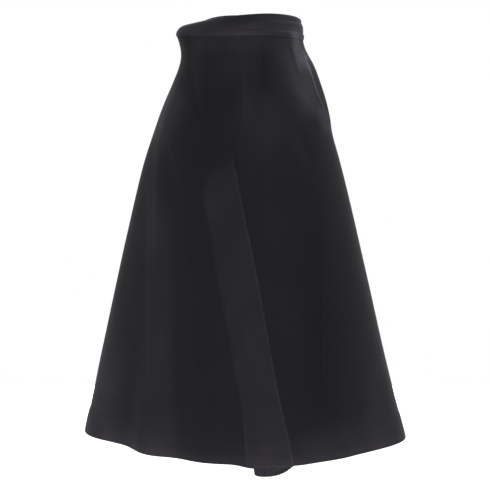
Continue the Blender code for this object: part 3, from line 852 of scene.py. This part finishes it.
def add_node(tree, kind, settings=(), links=()):
    """A node with its settings, and with links from other nodes' outputs into its inputs."""
    node = tree.nodes.new(kind)
    for key, value in dict(settings).items():
        if isinstance(key, str) and hasattr(node, key):
            setattr(node, key, value)
        else:
            node.inputs[key].default_value = value
    link_into(tree, node, links)
    return node


def shaded(name, values):
    """A material whose Principled shader starts from plain values."""
    material = bpy.data.materials.new(name)
    material.use_nodes = True
    shader = material.node_tree.nodes["Principled BSDF"]
    for key, value in values.items():
        shader.inputs[key].default_value = value
    return material, material.node_tree, shader


# A wave texture of this scale makes one wave in a metre.
ONE_WAVE = math.tau / 20

# What the painted light and nap add to the tone of the cloth.
NAP_AND_PAINTED_LIGHT_TONE = "#100f12"


def cloth_pattern(tree, scale, turn=0.0):
    """The cloth's own map in metres, scaled, and turned by degrees, for a pattern."""
    coordinates = add_node(tree, "ShaderNodeUVMap", {"uv_map": "Cloth"})
    settings = {"Rotation": (0, 0, math.radians(turn)), "Scale": scale}
    return add_node(tree, "ShaderNodeMapping", settings, {"Vector": (coordinates, "UV")})


def woven(
    name, tone, bright, ribs, rib_turn, rib_height, rough, sheen, sheen_tone="#dad4e6", gloss=0.16
):
    """A woven cloth: diagonal ribs at their spacing, lighter and darker yarns, a cloudy tone, and
    painted light.
    """
    material, tree, shader = shaded(name, {
        "Sheen Weight": sheen,
        "Sheen Roughness": 0.38,
        "Sheen Tint": linear(sheen_tone),
        "Specular IOR Level": gloss,
        "IOR": 1.5,
    })
    wave = add_node(
        tree,
        "ShaderNodeTexWave",
        {
            "bands_direction": "X",
            "Scale": ONE_WAVE / ribs,
            "Distortion": 0.6,
            "Detail": 1.0,
            "Detail Scale": 2.0,
        },
        {"Vector": (cloth_pattern(tree, (1, 1, 1), rib_turn), "Vector")},
    )
    yarns, clouds, fuzz = (
        add_node(
            tree,
            "ShaderNodeTexNoise",
            {"Scale": 1.0, "Detail": detail, "Roughness": roughness},
            {"Vector": (cloth_pattern(tree, scale), "Vector")},
        )
        for scale, detail, roughness in (
            ((900.0, 60.0, 1.0), 2.0, 0.60),
            ((17.0, 11.0, 1.0), 3.0, 0.55),
            ((420.0, 420.0, 1.0), 3.0, 0.70),
        )
    )
    both = add_node(
        tree, "ShaderNodeMath", {"operation": "ADD"}, {0: (yarns, "Fac"), 1: (clouds, "Fac")}
    )
    tones = add_node(
        tree, "ShaderNodeMath", {"operation": "MULTIPLY", 1: 0.5}, {0: (both, "Value")}
    )
    ramp = add_node(tree, "ShaderNodeValToRGB", {}, {"Fac": (tones, "Value")})
    dark, light = ramp.color_ramp.elements
    dark.position, light.position = 0.32, 0.68
    dark.color, light.color = linear(tone), linear(bright)
    # The painted light and nap at each point, mottled by the clouds, lighten the base colour.
    painted_light_and_nap = add_node(tree, "ShaderNodeAttribute", {"attribute_name": "nap_and_painted_light"})
    uneven = add_node(
        tree,
        "ShaderNodeMapRange",
        {"From Min": 0.3, "From Max": 0.7, "To Min": 0.7, "To Max": 1.25},
        {"Value": (clouds, "Fac")},
    )
    painted_light_and_nap_mottled = add_node(
        tree, "ShaderNodeMath", {"operation": "MULTIPLY"}, {0: (painted_light_and_nap, "Fac"), 1: (uneven, "Result")}
    )
    colour = add_node(
        tree,
        "ShaderNodeVectorMath",
        {"operation": "MULTIPLY_ADD", 1: linear(NAP_AND_PAINTED_LIGHT_TONE)[:3]},
        {0: (painted_light_and_nap_mottled, "Value"), 2: (ramp, "Color")},
    )
    roughness = add_node(
        tree,
        "ShaderNodeMapRange",
        {"To Min": rough - 0.07, "To Max": rough + 0.07},
        {"Value": (fuzz, "Fac")},
    )
    surface = add_node(
        tree,
        "ShaderNodeMath",
        {"operation": "MULTIPLY_ADD", 1: 0.8},
        {0: (fuzz, "Fac"), 2: (wave, "Fac")},
    )
    relief = add_node(
        tree,
        "ShaderNodeBump",
        {"Strength": 0.5, "Distance": rib_height},
        {"Height": (surface, "Value")},
    )
    link_into(tree, shader, {
        "Base Color": (colour, "Vector"),
        "Roughness": (roughness, "Result"),
        "Normal": (relief, "Normal"),
    })
    return material


def worsted_suiting():
    """Wool and polyester suiting in a fine twill, pressed: matt, with a faint bloom at its rim.

    The real ribs are about 0.5 mm apart. They are drawn at 1.1 mm, to show in a close view."""
    return woven(
        "pressed worsted suiting", tone="#0c0b0f", bright="#110f14",
        ribs=0.0011, rib_turn=28, rib_height=0.00007, rough=0.78, sheen=0.07,
    )


def fused_suiting():
    """The same suiting fused to interfacing for the waistband: firmer, flatter, smoother, and
    painted lighter for the light that falls on the band.
    """
    return woven(
        "fused worsted suiting", tone="#19171c", bright="#1e1c22",
        ribs=0.0011, rib_turn=28, rib_height=0.00005, rough=0.72, sheen=0.12,
    )


def facing_suiting():
    """The same suiting with its threads turned, as the facing is cut along the mouth."""
    return woven(
        "worsted suiting on the cross", tone="#0d0c10", bright="#121115",
        ribs=0.0011, rib_turn=-40, rib_height=0.00007, rough=0.82, sheen=0.10,
    )


def pocket_lining():
    """Thin polyester lining in a plain weave: smoother than the suiting, with a soft gloss."""
    return woven(
        "plain weave lining", tone="#121215", bright="#18181b", ribs=0.0006, rib_turn=90,
        rib_height=0.00003, rough=0.48, sheen=0.10, sheen_tone="#b9bbcc", gloss=0.5,
    )


def tape_knit():
    """Warp-knitted polyester zip tape: matt, ribbed along its length."""
    return woven(
        "knitted zip tape", tone="#131316", bright="#1a1a1d", ribs=0.0012, rib_turn=0,
        rib_height=0.00010, rough=0.66, sheen=0.12, sheen_tone="#b9bbcc", gloss=0.4,
    )


def sewing_thread():
    """Spun polyester thread: matt black, softly glossy along its twist, which is 0.4 mm long."""
    material, tree, shader = shaded("spun polyester thread", {
        "Sheen Weight": 0.2,
        "Sheen Roughness": 0.4,
        "Roughness": 0.55,
        "IOR": 1.5,
    })
    place_on = add_node(tree, "ShaderNodeTexCoord")
    twist = add_node(
        tree,
        "ShaderNodeTexWave",
        {"bands_direction": "DIAGONAL", "Scale": ONE_WAVE / 0.0004, "Distortion": 0.4},
        {"Vector": (place_on, "Object")},
    )
    ramp = add_node(tree, "ShaderNodeValToRGB", {}, {"Fac": (twist, "Fac")})
    dark, light = ramp.color_ramp.elements
    dark.color, light.color = linear("#121215"), linear("#222227")
    relief = add_node(
        tree, "ShaderNodeBump", {"Strength": 0.6, "Distance": 0.00008}, {"Height": (twist, "Fac")}
    )
    link_into(tree, shader, {"Base Color": (ramp, "Color"), "Normal": (relief, "Normal")})
    return material


def enamelled_zinc():
    """Die-cast zinc in black enamel: glossy, with a faint orange peel, worn bare in tiny specks."""
    material, tree, shader = shaded("black enamelled zinc", {
        "IOR": 1.5,
        "Coat Weight": 0.3,
        "Coat Roughness": 0.3,
    })
    place_on = add_node(tree, "ShaderNodeTexCoord")
    peel = add_node(
        tree,
        "ShaderNodeTexNoise",
        {"Scale": 900.0, "Detail": 3.0, "Roughness": 0.6},
        {"Vector": (place_on, "Object")},
    )
    worn = add_node(
        tree, "ShaderNodeMapRange", {"From Min": 0.66, "From Max": 0.74}, {"Value": (peel, "Fac")}
    )
    ramp = add_node(tree, "ShaderNodeValToRGB", {}, {"Fac": (worn, "Result")})
    enamel, metal = ramp.color_ramp.elements
    enamel.color, metal.color = linear("#17171a"), linear("#5d5d62")
    roughness = add_node(
        tree, "ShaderNodeMapRange", {"To Min": 0.40, "To Max": 0.56}, {"Value": (peel, "Fac")}
    )
    relief = add_node(
        tree, "ShaderNodeBump", {"Strength": 0.2, "Distance": 0.00005}, {"Height": (peel, "Fac")}
    )
    link_into(tree, shader, {
        "Base Color": (ramp, "Color"),
        "Metallic": (worn, "Result"),
        "Roughness": (roughness, "Result"),
        "Normal": (relief, "Normal"),
    })
    return material


def studio_paper():
    """Matt white background paper, with a barely visible fibre."""
    material, tree, shader = shaded("matt white paper", {
        "Roughness": 0.95,
        "Specular IOR Level": 0.2,
    })
    place_on = add_node(tree, "ShaderNodeTexCoord")
    fibre = add_node(
        tree, "ShaderNodeTexNoise", {"Scale": 55.0, "Detail": 4.0}, {"Vector": (place_on, "Object")}
    )
    ramp = add_node(tree, "ShaderNodeValToRGB", {}, {"Fac": (fibre, "Fac")})
    dark, light = ramp.color_ramp.elements
    dark.color, light.color = linear("#f4f4f3"), linear("#f8f8f7")
    link_into(tree, shader, {"Base Color": (ramp, "Color")})
    return material


# Soft boxes: where each hangs, what it is aimed at, its power in watts and its size.
LIGHTS = table(
    "x  y  z  aim_x  aim_y  aim_z  power  size",
    (0.2, -2.4, -0.75, 0.0, 0.0, -0.45, 34, 0.9),
    (0.0, -2.9, 0.5, 0.0, 0.0, -0.30, 22, 0.9),
    (-1.8, -0.9, -0.75, 0.0, 0.0, -0.45, 9, 0.8),
    (1.5, -0.3, 0.7, 0.0, 0.0, -0.10, 2.6, 0.7),
    (0.75, -0.15, 0.40, 0.05, 0.0, -0.03, 3.2, 0.35),
    (-2.2, 0.9, 1.6, 0.0, 1.4, -1.03, 38, 1.2),
    (2.2, 0.9, 1.6, 0.0, 1.4, -1.03, 38, 1.2),
    (-2.2, 2.6, -0.2, 0.0, 0.0, -0.30, 12, 2.4),
    (2.2, 2.6, -0.2, 0.0, 0.0, -0.30, 12, 2.4),
    (0.0, 2.0, 0.9, 0.0, 1.25, -1.03, 24, 1.0),
    (0.0, 2.6, -0.7, 0.0, 0.0, -0.45, 40, 0.9),
    (0.0, 2.9, 0.5, 0.0, 0.0, -0.30, 26, 0.9),
)
WORLD_LIGHT = 0.12
FLOOR = -1.03
FLOOR_FRONT, FLOOR_BACK, FLOOR_SIDE = -2.4, 1.9, 2.4


def paper_floor():
    """One large pale sheet of paper, laid flat under the skirt."""
    mesh = bmesh.new()
    middle = Matrix.Translation((0, (FLOOR_FRONT + FLOOR_BACK) / 2, FLOOR))
    shape = Matrix.Diagonal((FLOOR_SIDE, (FLOOR_BACK - FLOOR_FRONT) / 2, 1.0, 1.0))
    bmesh.ops.create_grid(mesh, x_segments=16, y_segments=16, size=1.0, matrix=middle @ shape)
    floor = made_from(mesh, "paper_floor")
    floor.data.materials.append(studio_paper())


def studio():
    """Soft white light round the skirt, in a dim room that the picture shows as plain white."""
    world = bpy.data.worlds.new("white room")
    bpy.context.scene.world = world
    world.use_nodes = True
    room = world.node_tree.nodes["Background"]
    room.inputs["Color"].default_value = (1, 1, 1, 1)
    seen = add_node(world.node_tree, "ShaderNodeLightPath")
    strength = add_node(
        world.node_tree,
        "ShaderNodeMapRange",
        {"To Min": WORLD_LIGHT, "To Max": 1.0},
        {"Value": (seen, "Is Camera Ray")},
    )
    link_into(world.node_tree, room, {"Strength": (strength, "Result")})
    for i, (x, y, z, aim_x, aim_y, aim_z, power, size) in enumerate(zip(*LIGHTS.values())):
        light = bpy.data.lights.new(f"soft box {i + 1}", "AREA")
        light.energy, light.size = power, size
        lamp = bpy.data.objects.new(light.name, light)
        lamp.location = (x, y, z)
        toward = Vector((aim_x, aim_y, aim_z)) - lamp.location
        lamp.rotation_euler = toward.to_track_quat("-Z", "Y").to_euler()
        lamp.visible_camera = False
        bpy.context.scene.collection.objects.link(lamp)


# The photograph in its own pixels: its width and height, its focal length, and its horizon's row.
PHOTO_PIXELS = 490
FOCAL_PIXELS = 1630
HORIZON_ROW = 60
CAMERA_PLACE = (0.0084, -3.0, -0.04)


def camera():
    """The photograph's view: level with the hips, three metres in front, looking a little down."""
    lens = bpy.data.cameras.new("photograph")
    lens.sensor_width = 36.0
    lens.lens = lens.sensor_width * FOCAL_PIXELS / PHOTO_PIXELS
    seen_from = bpy.data.objects.new("photograph", lens)
    seen_from.location = CAMERA_PLACE
    down = math.atan2(PHOTO_PIXELS / 2 - HORIZON_ROW, FOCAL_PIXELS)
    seen_from.rotation_euler = (math.radians(90) - down, 0, 0)
    bpy.context.scene.collection.objects.link(seen_from)
    bpy.context.scene.camera = seen_from


def add_piece(piece, finish, slot, *replaced):
    """A finished cloth piece rides on the skirt, in its finish, in place of its solids. The slot is
    not used.
    """
    piece.data.materials.append(finish)
    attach(piece, "skirt")
    if replaced:
        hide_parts(*replaced)


def main():
    heights, depths = cloth_rows()
    suiting, thread = worsted_suiting(), sewing_thread()
    for name, (points, shown) in {
        "front_right": front_right(heights, depths),
        "front_left": front_left(heights, depths),
        "back_right": back(heights, depths, False),
        "back_left": back(heights, depths, True),
    }.items():
        add_piece(cloth_grid(name, points, shown), suiting, "suiting", name + "_panel")
        binding = edge_binding(name + "_hem_overlock", points[-1], thread)
    add_piece(cloth_grid("band", waistband()), fused_suiting(), "band_cloth", "waistband")
    facing = cloth_grid("facing", pocket_facing())
    add_piece(facing, facing_suiting(), "facing_cloth", "pocket_facing")
    bag = cloth_grid("bag", pocket_bag(), thickness=BAG_THICK)
    add_piece(bag, pocket_lining(), "pocket_lining", "pocket_bag")
    for piece in mouth_stitching(thread):
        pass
    zip_inside(tape_knit(), thread)
    metal = enamelled_zinc()
    for name in ("zip_slider", "zip_pull"):
        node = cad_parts[name]
        node.data.materials.clear()
        node.data.materials.append(metal)
    camera()
    paper_floor()
    studio()
    bpy.context.scene.view_settings.view_transform = "Standard"


main()
